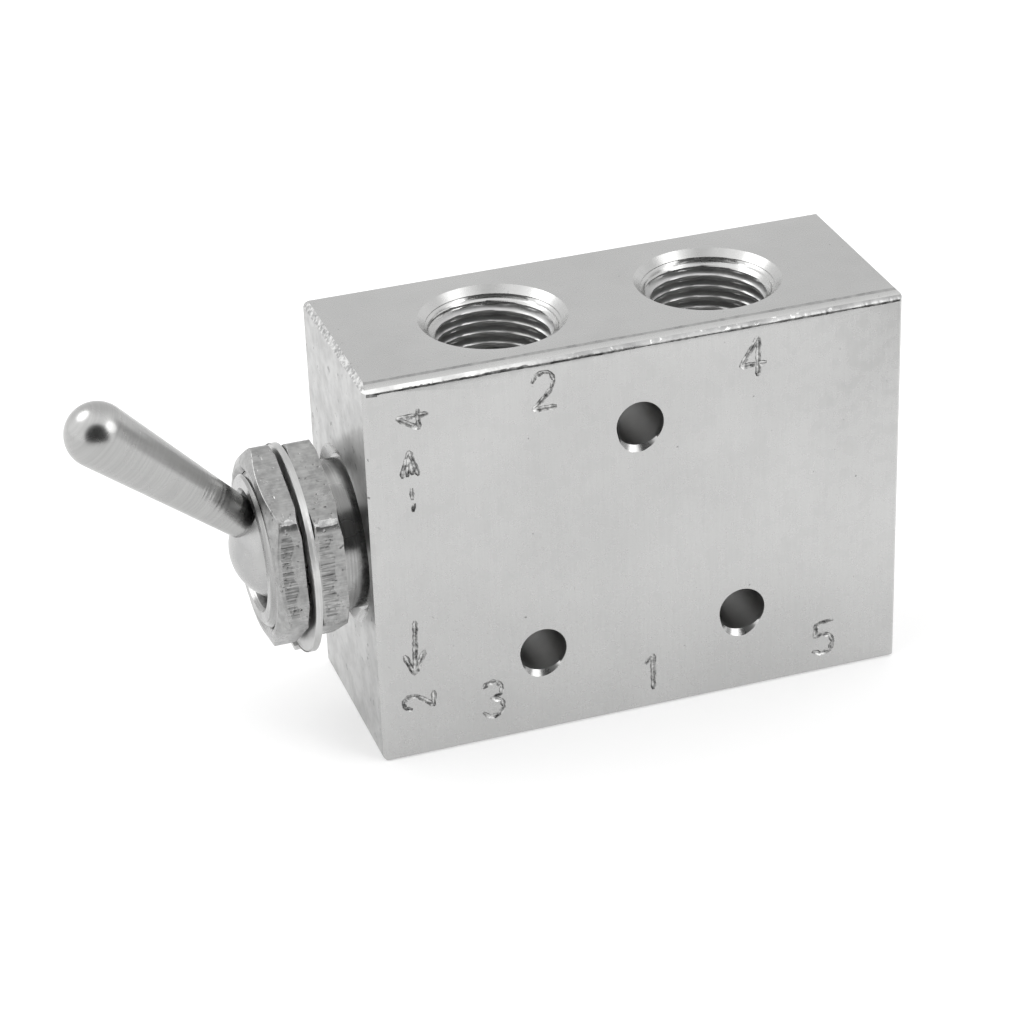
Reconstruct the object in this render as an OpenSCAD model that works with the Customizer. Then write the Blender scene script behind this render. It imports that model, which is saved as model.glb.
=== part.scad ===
// Toggle lever valve: a rectangular metal block with a five port, two position spool inside.
// A lever in a threaded bushing tilts on a pivot pin. A drive pin in its ball moves a forked
// spool along the block. Units are millimetres, +Z is up and the lever points to -X.
// The origin is midway between the two lower mounting holes, on the block's middle plane.

/* [Block] */
// length of the block along the spool
body_l = 42; // [41.8:0.1:60]
// thickness of the block from front to back
body_d = 16.1; // [15:0.1:24]
// height of the block
body_h = 31.6; // [30.5:0.1:44]
// bevel of the top front edge
front_bevel = 0.55; // [0.1:0.05:1]
// bevel of the edges round the lever's end
end_bevel = 0.4; // [0.1:0.05:1]
// small bevel of all other edges
edge_break = 0.2; // [0.05:0.05:0.6]

/* [Mounting holes] */
// radius of the three mounting holes
mount_r = 1.8; // [1.2:0.05:2.2]
// distance of each lower hole from the middle of the block
mount_x = 8.1; // [7.6:0.1:9]
// height of the two lower holes above the bottom face
lower_mount_h = 7; // [5.5:0.1:7.5]
// distance of the upper hole below the top face
upper_mount_drop = 6.9; // [5:0.1:7.5]

/* [Ports] */
// tapping radius of the outlet and supply ports
port_r = 4.3; // [3:0.05:4.5]
// radius of the countersunk mouth of these ports
port_mouth_r = 5.6; // [4.8:0.05:6]
// tapped depth of the outlet ports in the top face
outlet_depth = 8; // [6:0.1:8.4]
// tapped depth of the supply port in the bottom face
supply_depth = 7.4; // [5:0.1:8]
// distance of each outlet port from the middle of the block
outlet_x = 8.55; // [7.8:0.05:10]
// tapping radius of the two exhaust ports
exhaust_r = 2.1; // [1.5:0.05:2.2]
// radius of the countersunk mouth of the exhaust ports
exhaust_mouth_r = 2.8; // [2.2:0.05:2.9]
// tapped depth of the exhaust ports
exhaust_depth = 6.2; // [4:0.1:8]
// distance of each exhaust port from the middle of the block
exhaust_x = 13.4; // [13:0.05:13.8]
// radius of the drilled passages between the ports and the spool bore
passage_r = 1; // [0.6:0.05:1.05]
// distance of each outlet passage from the middle of the block
outlet_passage_x = 8; // [7.8:0.05:8.3]

/* [Spool bore] */
// height of the spool's axis above the bottom face
axis_h = 15.8; // [15:0.1:17]
// radius of the bore that the spool slides in
bore_r = 4.25; // [3.8:0.05:4.4]
// radius of the wider seat at each end of the bore
seat_r = 5; // [4.8:0.05:5.4]
// depth of each seat, from the block's end face to its shoulder
seat_depth = 6.1; // [5.9:0.05:6.3]

/* [Spool and seals] */
// radius of the rods at both ends of the spool
rod_r = 2; // [1.5:0.05:2.2]
// width of each land
land_w = 2.8; // [2.4:0.1:3.2]
// section radius of the rings on the lands
land_ring_section = 0.75; // [0.5:0.05:0.8]
// section radius of the rings round the rods
rod_ring_section = 0.5; // [0.35:0.05:0.6]
// section radius of the rings round the bushing and the plug
seat_ring_section = 0.6; // [0.4:0.05:0.7]
// thickness of the washers that close the seal pockets
gland_washer_t = 0.6; // [0.4:0.1:1]
// length of the end plug
plug_l = 3.7; // [3.4:0.1:4]
// thickness of the retaining ring
retainer_t = 0.8; // [0.6:0.1:1]
// distance that the spool's free end stops short of the block's end face
rod_end_recess = 0.3; // [0.1:0.1:0.6]

/* [Bushing and nuts] */
// outside radius of the bushing's thread
thread_r = 6; // [5.9:0.05:6.4]
// reach of the bushing in front of the block
bushing_reach = 7.25; // [6.8:0.05:9]
// length of the plain neck between the block and the inner nut
neck_l = 1.75; // [1:0.05:2.5]
// radius of the plain neck
neck_r = 5.75; // [5.3:0.05:5.8]
// length of the thread inside the block
inner_thread_l = 3; // [2:0.1:3.2]
// radius of the cavity that holds the lever's ball
cavity_r = 4.35; // [4.3:0.05:4.5]
// radius of the opening at the bushing's front face
rim_r = 4.75; // [4.55:0.05:5]
// width of the key slot along the bushing's lower side
key_w = 1.2; // [0.8:0.1:1.6]
// depth of the key slot
key_depth = 0.6; // [0.4:0.05:0.9]
// size of the two nuts across their flats
nut_af = 14; // [13.5:0.1:16]
// thickness of each nut
nut_t = 2.2; // [1.8:0.05:2.6]
// turn of the outer nut about the bushing
outer_nut_turn = 20; // [0:1:59]
// turn of the inner nut about the bushing
inner_nut_turn = 24; // [0:1:59]
// outside radius of the lock washer
washer_r = 8; // [7.6:0.05:8.4]
// thickness of the lock washer
washer_t = 0.5; // [0.4:0.05:0.8]
// gap between the lock washer and the outer nut
washer_gap = 0.35; // [0.1:0.05:0.8]

/* [Lever] */
// angle of the lever above the bushing's axis at rest
lever_up = 42; // [30:1:43]
// distance of the lever's pivot from the block's end face
pivot_reach = 4.65; // [4.5:0.05:4.8]
// radius of the ball that tilts in the bushing
ball_r = 4.2; // [4:0.05:4.2]
// distance from the pivot to the centre of the lever's round tip
tip_reach = 17.7; // [14:0.1:30]
// radius of the lever's round tip
tip_r = 2.47; // [2:0.01:3]
// half angle of the taper of the lever's shank
taper = 4.2; // [2:0.1:5]
// distance of the drive pin from the pivot
crank = 3; // [2.9:0.05:3]
// radius of the drive pin
drive_pin_r = 0.6; // [0.5:0.05:0.65]
// radius of the pivot pin
pivot_pin_r = 0.8; // [0.6:0.05:0.8]
// thickness of the fork's blade
blade_t = 1.8; // [1.2:0.1:2]

/* [Hidden] */
$fn = 64;
far = 60;
overlap = 0.5;

running = 0.05;
slot_play = 0.12;
ball_slot_play = 0.1;
land_play = 0.1;

half_l = body_l / 2;
half_d = body_d / 2;
bottom_z = -lower_mount_h;
top_z = bottom_z + body_h;
axis_z = bottom_z + axis_h;
upper_mount_z = top_z - upper_mount_drop;

// end seats, from the shoulders outwards
shoulder_x = half_l - seat_depth;
gland_x = shoulder_x + gland_washer_t;
pocket_l = 2 * rod_ring_section + 0.1;
pocket_r = rod_r + running + 2 * rod_ring_section;
rod_hole_r = rod_r + running + 0.01;
seat_groove_w = 2 * seat_ring_section + 0.1;
seat_groove_x = gland_x + 0.5;
seat_groove_r = seat_r - 2 * seat_ring_section;
plug_end_x = gland_x + plug_l;

// bushing stations, as distances in front of the block's middle
bushing_front = half_l + bushing_reach;
neck_front = half_l + neck_l;
thread_back = half_l - 0.4;
thread_end = thread_back - inner_thread_l;
tap_end = thread_end - 0.2;
web_t = 1.8;
cavity_end = gland_x + pocket_l + web_t;
mouth_r = thread_r + 0.9;

// nuts and lock washer
washer_back = neck_front + nut_t;
washer_front = washer_back + washer_t;
outer_nut_back = washer_front + washer_gap;
nut_face_r = 0.475 * nut_af;
nut_corner_r = nut_af / sqrt(3);
nut_chamfer = 0.65;
thread_lead = 0.35;
washer_drop = 0.4;
washer_bore_r = thread_r + washer_drop + running;
tab_w = 2.4;

// lever and spool motion
pivot_x = -half_l - pivot_reach;
spool_shift = crank * sin(lever_up);
pin_low = crank * cos(lever_up);
drive_pin_l = 4;
pivot_pin_l = 2 * (thread_r - 0.8);
ball_slot_t = blade_t + 2 * ball_slot_play;
tip_lap = 0.01;
shank_end = tip_reach - tip_r * sin(taper);
shank_end_r = tip_r * cos(taper) - tip_lap;
slot_front_angle = 155;
slot_back_angle = -82;

// spool stations in the middle position
land_r = bore_r - land_play;
land_groove_r = bore_r - running - 2 * land_ring_section;
land_groove_w = 2 * land_ring_section + 0.1;
waist_r = rod_r + 0.2;
rod_left = gland_x + pocket_l + 0.4 + spool_shift;
rod_right = half_l - rod_end_recess - spool_shift;
stud_r = 1.1;
stud_l = 4;

// fork profile, measured from the drive pin's slot
fork_floor = pivot_pin_r + 0.2;
fork_top = crank + drive_pin_r + 0.1;
fork_half = 1.5;
arm_top = 2.6;
stem_half = sqrt(pow(rod_r, 2) - pow(blade_t / 2, 2)) - 0.04;
arm_end = half_l + pivot_reach - cavity_end - spool_shift - 0.15;
fork_slot_r = drive_pin_r + slot_play;

nickel = [0.78, 0.78, 0.76];
steel = [0.70, 0.71, 0.72];
brass = [0.80, 0.66, 0.36];
rubber = [0.08, 0.08, 0.08];

// places children on the spool's axis at x, with their own z along +X
module on_axis(x) {
    translate([x, 0, axis_z])
        rotate([0, 90, 0])
            children();
}

// turns an outline given as [radius, x] into a solid round the spool's axis
module lathe(points) {
    on_axis(0)
        rotate_extrude()
            polygon(points);
}

// round ring on the spool's axis
module seal_ring(x, inner_r, section) {
    on_axis(x)
        rotate_extrude()
            translate([inner_r + section, 0])
                circle(r = section);
}

// flat washer on the spool's axis, starting at x
module gland_washer(x) {
    on_axis(x)
        difference() {
            cylinder(r = seat_r, h = gland_washer_t);
            translate([0, 0, -overlap])
                cylinder(r = rod_hole_r, h = gland_washer_t + 2 * overlap);
        }
}

// puts children in the lever's own frame, tilted to the rest angle about the pivot
module at_lever() {
    translate([pivot_x, 0, axis_z])
        rotate([0, lever_up, 0])
            children();
}

// cross bar along Y
module cross_bar(r, l) {
    rotate([90, 0, 0])
        cylinder(r = r, h = l, center = true);
}

// square bar that cuts a bevel of leg c along an edge through the point
module bevel(at, turn, c) {
    leg = c * sqrt(2);
    bar = [turn[0] > 0 ? far : leg, turn[1] > 0 ? far : leg, turn[2] > 0 ? far : leg];
    translate(at)
        rotate(turn)
            cube(bar, center = true);
}

module plain_block() {
    along_x = [45, 0, 0];
    along_y = [0, 45, 0];
    along_z = [0, 0, 45];
    difference() {
        translate([-half_l, -half_d, bottom_z])
            cube([body_l, body_d, body_h]);
        bevel([0, -half_d, top_z], along_x, front_bevel);
        bevel([0, half_d, top_z], along_x, edge_break);
        bevel([0, -half_d, bottom_z], along_x, edge_break);
        bevel([0, half_d, bottom_z], along_x, edge_break);
        bevel([-half_l, 0, top_z], along_y, end_bevel);
        bevel([half_l, 0, top_z], along_y, edge_break);
        bevel([-half_l, 0, bottom_z], along_y, edge_break);
        bevel([half_l, 0, bottom_z], along_y, edge_break);
        bevel([-half_l, -half_d, 0], along_z, end_bevel);
        bevel([-half_l, half_d, 0], along_z, edge_break);
        bevel([half_l, -half_d, 0], along_z, edge_break);
        bevel([half_l, half_d, 0], along_z, edge_break);
    }
}

// tapped port cut from a face towards the spool, with a countersunk mouth and a drill point
module port_cut(r, mouth, depth) {
    point = 0.6 * r;
    translate([0, 0, -overlap]) {
        cylinder(r = r, h = depth + overlap);
        cylinder(r1 = mouth + overlap, r2 = r, h = mouth - r + overlap);
    }
    translate([0, 0, depth])
        cylinder(r1 = r, r2 = 0, h = point);
}

// ports and passages in the top and bottom faces
module port_cuts() {
    for (side = [-1, 1]) {
        translate([side * outlet_x, 0, top_z])
            rotate([180, 0, 0])
                port_cut(port_r, port_mouth_r, outlet_depth);
        translate([side * outlet_passage_x, 0, axis_z])
            cylinder(r = passage_r, h = top_z - axis_z - outlet_depth);
        translate([side * exhaust_x, 0, bottom_z]) {
            port_cut(exhaust_r, exhaust_mouth_r, exhaust_depth);
            translate([0, 0, exhaust_depth])
                cylinder(r = passage_r, h = axis_h - exhaust_depth);
        }
    }
    translate([0, 0, bottom_z]) {
        port_cut(port_r, port_mouth_r, supply_depth);
        translate([0, 0, supply_depth])
            cylinder(r = passage_r, h = axis_h - supply_depth);
    }
}

// spool bore, end seats, bushing thread and retaining ring groove as one turned cut
module bore_cut() {
    end_bevel_r = seat_r + 0.3;
    lathe([[0, -half_l - overlap],
           [mouth_r + overlap, -half_l - overlap],
           [thread_r, -half_l + mouth_r - thread_r],
           [thread_r, -tap_end],
           [seat_r, -tap_end],
           [seat_r, -shoulder_x],
           [bore_r, -shoulder_x],
           [bore_r, shoulder_x],
           [seat_r, shoulder_x],
           [seat_r, plug_end_x],
           [seat_r + 0.5, plug_end_x],
           [seat_r + 0.5, plug_end_x + retainer_t],
           [seat_r, plug_end_x + retainer_t],
           [seat_r, half_l - 0.3],
           [end_bevel_r + overlap, half_l + overlap],
           [0, half_l + overlap]]);
}

module mount_hole(x, z) {
    translate([x, 0, z])
        cross_bar(mount_r, body_d + 2 * overlap);
}

module valve_body() {
    color(nickel)
        difference() {
            plain_block();
            bore_cut();
            port_cuts();
            mount_hole(0, upper_mount_z);
            mount_hole(-mount_x, 0);
            mount_hole(mount_x, 0);
        }
}

// one turned piece: thread for the nuts, neck, thread for the block and a nose with the seals
module bushing() {
    cavity_start = bushing_front - (rim_r - cavity_r) * 1.8;
    color(nickel)
        difference() {
            lathe([[rim_r, -bushing_front],
                   [thread_r - 0.4, -bushing_front],
                   [thread_r, -bushing_front + 0.4],
                   [thread_r, -neck_front],
                   [neck_r, -neck_front],
                   [neck_r, -thread_back],
                   [thread_r, -thread_back],
                   [thread_r, -thread_end],
                   [seat_r, -thread_end],
                   [seat_r, -seat_groove_x - seat_groove_w],
                   [seat_groove_r, -seat_groove_x - seat_groove_w],
                   [seat_groove_r, -seat_groove_x],
                   [seat_r, -seat_groove_x],
                   [seat_r, -gland_x],
                   [pocket_r, -gland_x],
                   [pocket_r, -gland_x - pocket_l],
                   [rod_hole_r, -gland_x - pocket_l],
                   [rod_hole_r, -cavity_end],
                   [cavity_r, -cavity_end],
                   [cavity_r, -cavity_start]]);
            translate([pivot_x, 0, axis_z])
                cross_bar(pivot_pin_r, 2 * thread_r + overlap);
            translate([-bushing_front - overlap, -key_w / 2, axis_z - thread_r - overlap])
                cube([bushing_front - neck_front + overlap, key_w, key_depth + overlap]);
        }
}

// chamfered hexagon nut whose inner face, the one nearer the block, is at the distance back
module hex_nut(back, turn) {
    front = back + nut_t;
    clear = 0.3;
    rise = clear * nut_chamfer / (nut_corner_r - nut_face_r);
    color(nickel)
        difference() {
            intersection() {
                on_axis(-front)
                    rotate([0, 0, 90 + turn])
                        cylinder(r = nut_corner_r, h = nut_t, $fn = 6);
                lathe([[0, -front],
                       [nut_face_r, -front],
                       [nut_corner_r + clear, -front + nut_chamfer + rise],
                       [nut_corner_r + clear, -back - nut_chamfer / 2 - rise],
                       [(nut_face_r + nut_corner_r) / 2, -back],
                       [0, -back]]);
            }
            lathe([[0, -front - overlap],
                   [thread_r + thread_lead + overlap, -front - overlap],
                   [thread_r, -front + thread_lead],
                   [thread_r, -back - thread_lead],
                   [thread_r + thread_lead + overlap, -back + overlap],
                   [0, -back + overlap]]);
        }
}

module inner_nut() {
    hex_nut(neck_front, inner_nut_turn);
}

module outer_nut() {
    hex_nut(outer_nut_back, outer_nut_turn);
}

// ring that hangs on the thread, with a tongue in the key slot and a tab bent to the outer nut
module lock_washer() {
    tongue_top = washer_bore_r + overlap;
    tongue_l = washer_bore_r - thread_r + washer_drop + key_depth - 0.2;
    color(steel)
        translate([0, 0, -washer_drop]) {
            difference() {
                on_axis(-washer_front)
                    cylinder(r = washer_r, h = washer_t);
                on_axis(-washer_front - overlap)
                    cylinder(r = washer_bore_r, h = washer_t + 2 * overlap);
            }
            translate([-washer_front, -key_w / 2 + 0.1, axis_z - tongue_top])
                cube([washer_t, key_w - 0.2, tongue_l + overlap]);
            translate([-washer_front - washer_gap + 0.05, -tab_w / 2, axis_z - washer_r - washer_t / 2])
                cube([washer_gap + washer_t - 0.05, tab_w, washer_t]);
        }
}

// outline of the slot in the ball, seen along Y with the lever pointing to -X
module ball_slot_outline() {
    reach = 1.6 * ball_r;
    polygon([[0, 0],
             [reach * cos(slot_front_angle), reach * sin(slot_front_angle)],
             [reach * cos(slot_front_angle), reach],
             [reach, reach],
             [reach, -reach],
             [reach * cos(slot_back_angle), -reach]]);
}

// turned lever: ball with a slot for the fork, tapered shank and round tip
module toggle_lever() {
    color(nickel)
        at_lever()
            difference() {
                union() {
                    sphere(r = ball_r);
                    rotate([0, -90, 0])
                        cylinder(r1 = shank_end_r - shank_end * tan(taper), r2 = shank_end_r, h = shank_end);
                    translate([-tip_reach, 0, 0])
                        sphere(r = tip_r);
                }
                rotate([90, 0, 0])
                    linear_extrude(height = ball_slot_t, center = true)
                        ball_slot_outline();
                cross_bar(pivot_pin_r + running, 3 * ball_r);
                translate([0, 0, crank])
                    cross_bar(drive_pin_r, 3 * ball_r);
            }
}

module pivot_pin() {
    color(steel)
        translate([pivot_x, 0, axis_z])
            cross_bar(pivot_pin_r, pivot_pin_l);
}

module drive_pin() {
    color(steel)
        at_lever()
            translate([0, 0, crank])
                cross_bar(drive_pin_r, drive_pin_l);
}

// spool in its rest place: two grooved lands on a waist, with a rod at each end
module spool() {
    inner = outlet_passage_x - land_w / 2;
    outer = outlet_passage_x + land_w / 2;
    g_in = outlet_passage_x - land_groove_w / 2;
    g_out = outlet_passage_x + land_groove_w / 2;
    color(brass)
        translate([spool_shift, 0, 0])
            difference() {
                lathe([[0, -rod_left],
                       [rod_r, -rod_left],
                       [rod_r, -outer], [land_r, -outer],
                       [land_r, -g_out], [land_groove_r, -g_out],
                       [land_groove_r, -g_in], [land_r, -g_in],
                       [land_r, -inner], [waist_r, -inner],
                       [waist_r, inner], [land_r, inner],
                       [land_r, g_in], [land_groove_r, g_in],
                       [land_groove_r, g_out], [land_r, g_out],
                       [land_r, outer], [rod_r, outer],
                       [rod_r, rod_right - 0.3],
                       [rod_r - 0.3, rod_right],
                       [0, rod_right]]);
                on_axis(-rod_left - overlap)
                    cylinder(r = stud_r, h = stud_l + overlap);
            }
}

// side view of the fork: an open slot for the drive pin, an arm over the pivot pin and a stem
module fork_outline() {
    stem_end = half_l + pivot_reach - rod_left;
    difference() {
        polygon([[-fork_half, fork_floor],
                 [stem_end - 3.6, fork_floor],
                 [stem_end - 2, -stem_half],
                 [stem_end, -stem_half],
                 [stem_end, stem_half],
                 [arm_end, stem_half],
                 [arm_end - 0.3, arm_top],
                 [fork_half + 0.7, arm_top],
                 [fork_half, fork_top],
                 [-fork_half, fork_top]]);
        translate([0, pin_low])
            circle(r = fork_slot_r);
        translate([-fork_slot_r, pin_low])
            square([2 * fork_slot_r, 2 * fork_top]);
    }
}

module spool_fork() {
    color(steel)
        translate([spool_shift, 0, 0]) {
            translate([pivot_x, 0, axis_z])
                rotate([90, 0, 0])
                    linear_extrude(height = blade_t, center = true)
                        fork_outline();
            on_axis(-rod_left)
                cylinder(r = stud_r, h = stud_l);
        }
}

// ring in the groove of the land on the given side
module land_ring(side) {
    color(rubber)
        seal_ring(side * outlet_passage_x + spool_shift, land_groove_r, land_ring_section);
}

module land_ring_left() {
    land_ring(-1);
}

module land_ring_right() {
    land_ring(1);
}

// ring in the pocket round the rod on the given side
module rod_seal(side) {
    color(rubber)
        seal_ring(side * (gland_x + pocket_l / 2), rod_r + running, rod_ring_section);
}

module rod_seal_left() {
    rod_seal(-1);
}

module rod_seal_right() {
    rod_seal(1);
}

module gland_washer_left() {
    color(brass)
        gland_washer(-gland_x);
}

module gland_washer_right() {
    color(brass)
        gland_washer(shoulder_x);
}

// ring in the outer groove of the bushing's nose or of the plug
module seat_ring(side) {
    color(rubber)
        seal_ring(side * (seat_groove_x + seat_groove_w / 2), seat_groove_r, seat_ring_section);
}

module bushing_seal() {
    seat_ring(-1);
}

module end_plug_seal() {
    seat_ring(1);
}

// plug that guides the spool's free end and closes the bore
module end_plug() {
    color(brass)
        lathe([[pocket_r, gland_x],
               [seat_r, gland_x],
               [seat_r, seat_groove_x],
               [seat_groove_r, seat_groove_x],
               [seat_groove_r, seat_groove_x + seat_groove_w],
               [seat_r, seat_groove_x + seat_groove_w],
               [seat_r, plug_end_x],
               [rod_hole_r, plug_end_x],
               [rod_hole_r, gland_x + pocket_l],
               [pocket_r, gland_x + pocket_l]]);
}

// spring ring with a gap and two lugs, in the groove outside the plug
module retaining_ring() {
    outer = seat_r + 0.45;
    inner = seat_r - 0.9;
    lug_r = 0.85;
    lug_turn = 16;
    gap_half = 9;
    color(steel)
        on_axis(plug_end_x)
            linear_extrude(height = retainer_t)
                difference() {
                    union() {
                        difference() {
                            circle(r = outer);
                            circle(r = inner);
                        }
                        for (side = [-1, 1])
                            rotate(side * lug_turn)
                                translate([inner - 0.1, 0])
                                    circle(r = lug_r);
                    }
                    polygon([[0, 0],
                             [2 * outer, -2 * outer * tan(gap_half)],
                             [2 * outer, 2 * outer * tan(gap_half)]]);
                    for (side = [-1, 1])
                        rotate(side * lug_turn)
                            translate([inner - 0.1, 0])
                                circle(r = 0.35);
                }
}

valve_body();
bushing();
inner_nut();
outer_nut();
lock_washer();
toggle_lever();
pivot_pin();
drive_pin();
spool();
spool_fork();
land_ring_left();
land_ring_right();
rod_seal_left();
rod_seal_right();
gland_washer_left();
gland_washer_right();
bushing_seal();
end_plug();
end_plug_seal();
retaining_ring();
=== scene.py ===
# Toggle lever valve: stamped block, threads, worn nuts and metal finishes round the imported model.
# Pieces are made in millimetres in the part's own frame and scaled to metres when they are done.
import math

import bmesh
import bpy
import numpy as np
from mathutils import Matrix, Vector


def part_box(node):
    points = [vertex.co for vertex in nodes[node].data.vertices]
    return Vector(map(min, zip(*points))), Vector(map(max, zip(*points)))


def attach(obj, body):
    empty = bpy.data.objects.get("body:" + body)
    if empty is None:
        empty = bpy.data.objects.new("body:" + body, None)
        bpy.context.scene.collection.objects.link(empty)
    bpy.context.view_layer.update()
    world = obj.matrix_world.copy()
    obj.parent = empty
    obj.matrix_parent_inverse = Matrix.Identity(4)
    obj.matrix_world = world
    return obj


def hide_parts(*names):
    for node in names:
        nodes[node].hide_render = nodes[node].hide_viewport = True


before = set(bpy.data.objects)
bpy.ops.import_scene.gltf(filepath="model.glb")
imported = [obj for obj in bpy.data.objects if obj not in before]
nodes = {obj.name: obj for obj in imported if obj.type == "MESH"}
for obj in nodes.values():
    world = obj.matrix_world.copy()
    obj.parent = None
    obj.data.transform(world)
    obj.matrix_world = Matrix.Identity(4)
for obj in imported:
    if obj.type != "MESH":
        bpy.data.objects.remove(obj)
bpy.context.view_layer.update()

MM = 0.001
TURN = 2 * math.pi

# camera, found from the photograph's perspective
CAMERA_AT = (-0.073117, -0.207388, 0.127960)
CAMERA_AZIMUTH = -17.523
CAMERA_ELEVATION = 28.926
CAMERA_ROLL = -2.196
CAMERA_LENS = 113.85

# sizes of the part's source, in millimetres and degrees
AXIS_Z = 8.8
PORT_R = 4.3
PORT_MOUTH_R = 5.6
OUTLET_X = 8.55
EXHAUST_X = 13.4
EXHAUST_R = 2.1
EXHAUST_MOUTH_R = 2.8
MOUNT_R = 1.8
MOUNT_X = 8.1
UPPER_HOLE_Z = 17.7
MOUNTING_HOLES = ((0, UPPER_HOLE_Z), (-MOUNT_X, 0), (MOUNT_X, 0))
THREAD_R = 6.0
NUT_FLATS = 14.0
OUTER_NUT_TURN = 20
INNER_NUT_TURN = 24
WASHER_T = 0.5
WASHER_DROP = 0.4
WASHER_BORE_R = 6.45
LEVER_UP = 42
PIVOT_REACH = 4.65
BALL_R = 4.2
BALL_SLOT = 2.0
SLOT_FRONT_ANGLE = 155
SLOT_BACK_ANGLE = -82
TIP_R = 2.47
TIP_REACH = 17.7
TAPER = 4.2
CRANK = 3.0
PIVOT_HOLE_R = 0.85
DRIVE_PIN_R = 0.6

# sizes that only the looks need, in millimetres
PORT_ROOT_R = 4.86
PORT_PITCH = 0.907
OUTLET_THREAD_L = 7.9
SUPPLY_THREAD_L = 7.3
EXHAUST_ROOT_R = 2.5
EXHAUST_PITCH = 0.8
EXHAUST_THREAD_L = 6.1
LIP = 0.36
THREAD_ROOT_R = 5.5
THREAD_PITCH = 1.0
NUT_HOLE_R = THREAD_R + 0.35
NUT_BREAK_R = 7.5
NUT_BREAK_SLOPE = 0.5
# height of the middle of the painted highlight on the washer's rim
HIGHLIGHT_RIM_Z = 12.2
STROKE_W = 0.42
STROKE_DEPTH = 0.2

# radius at which each nut's outer chamfer starts, and its slope
OUTER_NUT_CHAMFER = (6.65, 0.5)
INNER_NUT_CHAMFER = (7.25, 0.22)

# how far cutters stand off a surface, so that faces never coincide
SKIM = 0.01

# length of the bars that cut the lever's cross holes, longer than the ball is wide
CROSS_HOLE_L = 12

# number of cells after which the noise repeats
NOISE_CELLS = 97

# how light the floor is, and how strongly it glows
FLOOR_LIGHT = 0.62
FLOOR_GLOW = 0.46


def corners(node):
    """Lowest and highest corner of a CAD node, in millimetres."""
    lo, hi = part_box(node)
    return np.array(lo) / MM, np.array(hi) / MM


BLOCK_LO, BLOCK_HI = corners("valve_body")
TOP_Z = BLOCK_HI[2]
BOTTOM_Z = BLOCK_LO[2]
FRONT_Y = BLOCK_LO[1]
LEFT_X = BLOCK_LO[0]
PIVOT = np.array([LEFT_X - PIVOT_REACH, 0.0, AXIS_Z])


# noise and profiles

def ease(t):
    return t * t * (3 - 2 * t)


def noise_2d(x, y, seed):
    """Smooth random values from 0 to 1 over the plane, with features about one unit wide."""
    table = np.random.default_rng(seed).random((NOISE_CELLS, NOISE_CELLS))
    x, y = np.broadcast_arrays(np.asarray(x, float), np.asarray(y, float))
    xi, yi = np.floor(x).astype(int), np.floor(y).astype(int)
    fx, fy = ease(x - xi), ease(y - yi)
    x0, x1 = xi % NOISE_CELLS, (xi + 1) % NOISE_CELLS
    y0, y1 = yi % NOISE_CELLS, (yi + 1) % NOISE_CELLS
    near = table[x0, y0] * (1 - fx) + table[x1, y0] * fx
    far = table[x0, y1] * (1 - fx) + table[x1, y1] * fx
    return near * (1 - fy) + far * fy


def window(x, low, high, soft):
    """1 between low and high, falling to 0 over soft on each side."""
    up = np.clip((x - low) / soft + 0.5, 0, 1)
    down = np.clip((high - x) / soft + 0.5, 0, 1)
    return ease(up) * ease(down)


def thread_share(theta, z, pitch):
    """0 on the inner and 1 on the outer flat of a right-hand thread round z."""
    phase = (z / pitch - theta / TURN) % 1
    rise = ease(np.clip((phase - 0.06) / 0.38, 0, 1))
    fall = ease(np.clip((phase - 0.56) / 0.38, 0, 1))
    return rise - fall


# meshes

def axes(origin, w, u):
    """Right-handed frame as (origin, u, v, w), where w is the turning axis."""
    w = np.array(w, float) / np.linalg.norm(w)
    u = np.array(u, float) / np.linalg.norm(u)
    return np.array(origin, float), u, np.cross(w, u), w


def turned(section, theta, place):
    """Points of section[i] = (radius, z), each a number or an array over theta, in the frame place."""
    origin, u, v, w = place
    rings = []
    for radius, z in section:
        radius = np.broadcast_to(np.asarray(radius, float), theta.shape)
        z = np.broadcast_to(np.asarray(z, float), theta.shape)
        rings.append(origin + np.outer(radius * np.cos(theta), u)
                     + np.outer(radius * np.sin(theta), v) + np.outer(z, w))
    return np.array(rings)


def mesh_object(name, points, faces):
    mesh = bpy.data.meshes.new(name)
    mesh.from_pydata([tuple(p) for p in points], [], faces)
    mesh.validate()
    obj = bpy.data.objects.new(name, mesh)
    bpy.context.scene.collection.objects.link(obj)
    return obj


def skin(name, rings, loop=False):
    """Closed mesh over rings of points. With loop the last ring joins the first, else the ends are
    closed by caps."""
    m, n, _ = rings.shape
    points = list(rings.reshape(-1, 3))
    faces = []
    for i in range(m if loop else m - 1):
        k = (i + 1) % m
        for j in range(n):
            l = (j + 1) % n
            faces.append((i * n + j, i * n + l, k * n + l, k * n + j))
    if not loop:
        faces.append(tuple(reversed(range(n))))
        faces.append(tuple((m - 1) * n + j for j in range(n)))
    obj = mesh_object(name, points, faces)
    outward(obj)
    return obj


def outward(obj):
    bm = bmesh.new()
    bm.from_mesh(obj.data)
    bmesh.ops.recalc_face_normals(bm, faces=bm.faces)
    if bm.calc_volume(signed=True) < 0:
        bmesh.ops.reverse_faces(bm, faces=bm.faces)
    bm.to_mesh(obj.data)
    bm.free()


def cad_copy(node, name):
    """New object in millimetres with the CAD node's surface, welded so that it is closed."""
    mesh = nodes[node].data.copy()
    mesh.materials.clear()
    mesh.transform(Matrix.Scale(1 / MM, 4))
    bm = bmesh.new()
    bm.from_mesh(mesh)
    bmesh.ops.remove_doubles(bm, verts=bm.verts, dist=1e-4)
    bm.to_mesh(mesh)
    bm.free()
    if "custom_normal" in mesh.attributes:
        mesh.attributes.remove(mesh.attributes["custom_normal"])
    obj = bpy.data.objects.new(name, mesh)
    bpy.context.scene.collection.objects.link(obj)
    return obj


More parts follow.
